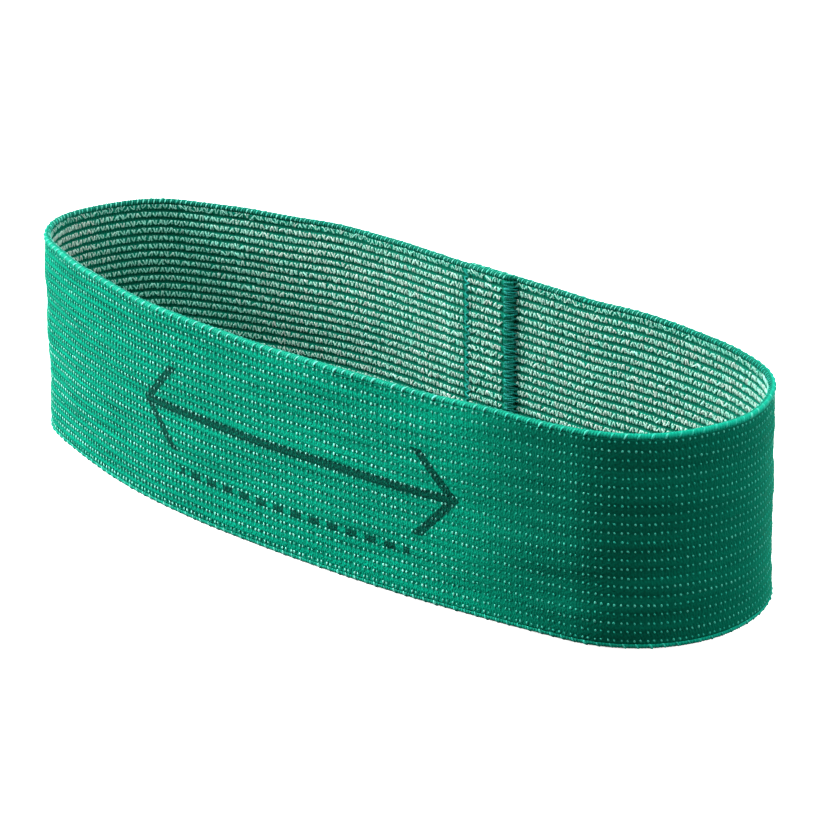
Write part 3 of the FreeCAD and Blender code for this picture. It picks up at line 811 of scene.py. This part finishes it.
for index, (region, (s0, s1)) in enumerate(REGIONS.items()):
    face = swept_sheet(region + "_face_weave", s0, s1, 0.34, rows_out, face_outside,
                       rows_hidden, lambda s, z: 0.38 + 0 * z)
    settle(face, region, "face_knit", [region + "_face_cloth"])
    flecks = make_flecks(region + "_pale_flecks", s0, s1, 100 + index)
    settle(flecks, region, "pale_fleck")
    backing = swept_sheet(region + "_backing_weave", s0, s1, 0.85,
                          rows_hidden, lambda s, z: -0.38 + 0 * z,
                          rows_in, backing_inside)
    settle(backing, region, "backing_knit", [region + "_backing_cloth"])
    hooks = make_hooks(region + "_grip_hooks", s0, s1, 200 + index)
    settle(hooks, region, "grip_yarn", [region + "_grip_yarns"])
    cords = make_cords(region + "_rubber_threads", s0, s1)
    settle(cords, region, "rubber_cord", [region + "_rubber_cords"])
    with_face = [flecks]
    for level, upper in (("upper", True), ("lower", False)):
        bead = make_bead("%s_%s_bead" % (region, level), s0, s1, upper)
        settle(bead, region, "rolled_edge", ["%s_%s_edge" % (region, level)])
        ticks = make_ticks("%s_%s_ticks" % (region, level), s0, s1, upper, 300 + index)
        settle(ticks, region, "pale_fleck")
        with_face += [bead, ticks]


# ---------------------------------------------------------------- seam threads
def satin(name, node, centre, face_out, inside, seed):
    """Dense stitches side by side up the seam, wrapped round the raw end on the inside."""
    rng = np.random.default_rng(seed)
    z = np.arange(1.9, 58.3, 0.7)
    z = z + 0.12 * rng.normal(size=len(z))
    side = -1 if inside else 1
    if inside:
        course = np.array([(2.5, 0, 0.8), (2.3, 0, 1.14), (1.7, 0, 1.24), (1.0, 0, 1.12),
                           (0.3, 0, 0.88), (-0.15, 0, 0.56), (-0.55, 0, 0.16), (-1.1, 0, -0.24)])
    else:
        course = np.array([(centre - 1.9, 0, face_out - 0.25), (centre - 1.6, 0, face_out + 0.14),
                           (centre - 0.8, 0, face_out + 0.24), (centre, 0, face_out + 0.26),
                           (centre + 0.8, 0, face_out + 0.24), (centre + 1.6, 0, face_out + 0.14),
                           (centre + 1.9, 0, face_out - 0.25)])
    count, rings = len(z), len(course)
    fan = (0.36 * np.where(np.arange(count) % 2 == 0, 1, -1) + 0.2 * rng.normal(size=count))
    slope = np.linspace(-0.5, 0.5, rings)[None, :] * (fan * 2)[:, None]
    paths = np.stack([course[None, :, 0] + 0.10 * rng.normal(size=(count, 1)),
                      z[:, None] + slope,
                      side * course[None, :, 2] + 0.03 * rng.normal(size=(count, 1))], -1)
    piece = tubes(name, paths, 0.17 * (1 + 0.1 * rng.normal(size=(count, 1))), 6, (0, 1, 0),
                  tone=np.clip(rng.normal(0.5, 0.25, count), 0, 1))
    return settle_seam(piece, node)


def zigzag(name, node, centre, face_out, inside, seed):
    """One narrow zigzag row, as short stitches that meet at the needle holes."""
    rng = np.random.default_rng(seed)
    z = np.arange(2.2, 57.6, 1.1)
    count = len(z)
    lean = np.where(np.arange(count) % 2 == 0, 1, -1)[:, None]
    side = -1 if inside else 1
    share = np.linspace(-1, 1, 6)[None, :]
    lift = np.array([-0.25, 0.12, 0.2, 0.2, 0.12, -0.25])[None, :]
    paths = np.stack([centre + 0.95 * share * lean + 0.12 * rng.normal(size=(count, 1)),
                      z[:, None] + 0.62 * share + 0.06 * rng.normal(size=(count, 1)),
                      side * (face_out + lift) + 0 * share * lean], -1)
    piece = tubes(name, paths, 0.2 * (1 + 0.08 * rng.normal(size=(count, 1))), 6, (0, 0, 1),
                  tone=np.clip(rng.normal(0.55, 0.25, count), 0, 1))
    return settle_seam(piece, node)


def settle_seam(piece, node):
    piece.data.materials.append(PAINTS["seam_thread"])
    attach(piece, "middle")
    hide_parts(node)
    return piece


satin("tail_seam_inner_stitches", "tail_seam_inner_thread", TAIL_LINE, 1.0, True, 401)
satin("tail_seam_outer_stitches", "tail_seam_outer_thread", OUTER_TAIL_LINE, 0.88, False, 402)
zigzag("cover_seam_inner_stitches", "cover_seam_inner_thread", COVER_LINE, 0.98, True, 403)
zigzag("cover_seam_outer_stitches", "cover_seam_outer_thread", OUTER_COVER_LINE, 0.88, False, 404)


# ---------------------------------------------------------------- floor and light
def add_floor():
    """Pale studio floor that turns up into a wall far behind, all round."""
    profile = [(0.0, 0.0), (4.0, 0.0), (4.8, 0.12), (5.4, 0.45), (5.8, 1.1), (6.0, 2.2), (6.0, 7.0)]
    around = 48
    points = [(r * math.cos(TAU * k / around), r * math.sin(TAU * k / around), h)
              for r, h in profile[1:] for k in range(around)] + [(0, 0, 0)]
    faces = [(j * around + k, j * around + (k + 1) % around, (j + 1) * around + (k + 1) % around,
              (j + 1) * around + k) for j in range(len(profile) - 2) for k in range(around)]
    faces += [(len(points) - 1, k, (k + 1) % around) for k in range(around)]
    mesh = bpy.data.meshes.new("floor")
    mesh.from_pydata(points, [], faces)
    for face in mesh.polygons:
        face.use_smooth = True
    floor = bpy.data.objects.new("floor", mesh)
    floor.location.z = -0.0002
    bpy.context.scene.collection.objects.link(floor)
    material = bpy.data.materials.new("pale_floor")
    material.use_nodes = True
    shader = material.node_tree.nodes["Principled BSDF"]
    shader.inputs["Base Color"].default_value = (0.93, 0.93, 0.93, 1)
    shader.inputs["Roughness"].default_value = 0.9
    shader.inputs["Specular IOR Level"].default_value = 0.1
    shader.inputs["Emission Color"].default_value = (1, 1, 1, 1)
    shader.inputs["Emission Strength"].default_value = 0.85
    mesh.materials.append(material)
    floor.visible_diffuse = False
    floor.visible_shadow = False


def add_light(name, where, size, power):
    """Square soft box at where, in metres, turned to the middle of the loop."""
    data = bpy.data.lights.new(name, "AREA")
    data.shape = "SQUARE"
    data.size = size
    data.energy = power
    light = bpy.data.objects.new(name, data)
    aim = Vector((0, 0, 0.03)) - Vector(where)
    light.rotation_euler = aim.to_track_quat("-Z", "Y").to_euler()
    light.location = where
    bpy.context.scene.collection.objects.link(light)


def polar(turn, rise, far):
    """Place of a light from its compass turn and height angle, in degrees, and distance."""
    turn, rise = math.radians(turn), math.radians(rise)
    return (far * math.cos(rise) * math.cos(turn), far * math.cos(rise) * math.sin(turn),
            far * math.sin(rise))


add_floor()
add_light("key_box", polar(206, 28, 1.5), 0.7, 56)
add_light("far_box", polar(29, 30, 1.6), 0.9, 20)
add_light("back_box", polar(82, 46, 1.6), 0.9, 16)
add_light("front_box", polar(258, 60, 1.6), 1.1, 27)

world = bpy.data.worlds.new("studio")
world.use_nodes = True
world.node_tree.nodes["Background"].inputs[0].default_value = (1, 1, 1, 1)
world.node_tree.nodes["Background"].inputs[1].default_value = 0.05
bpy.context.scene.world = world
bpy.context.scene.view_settings.view_transform = "Standard"
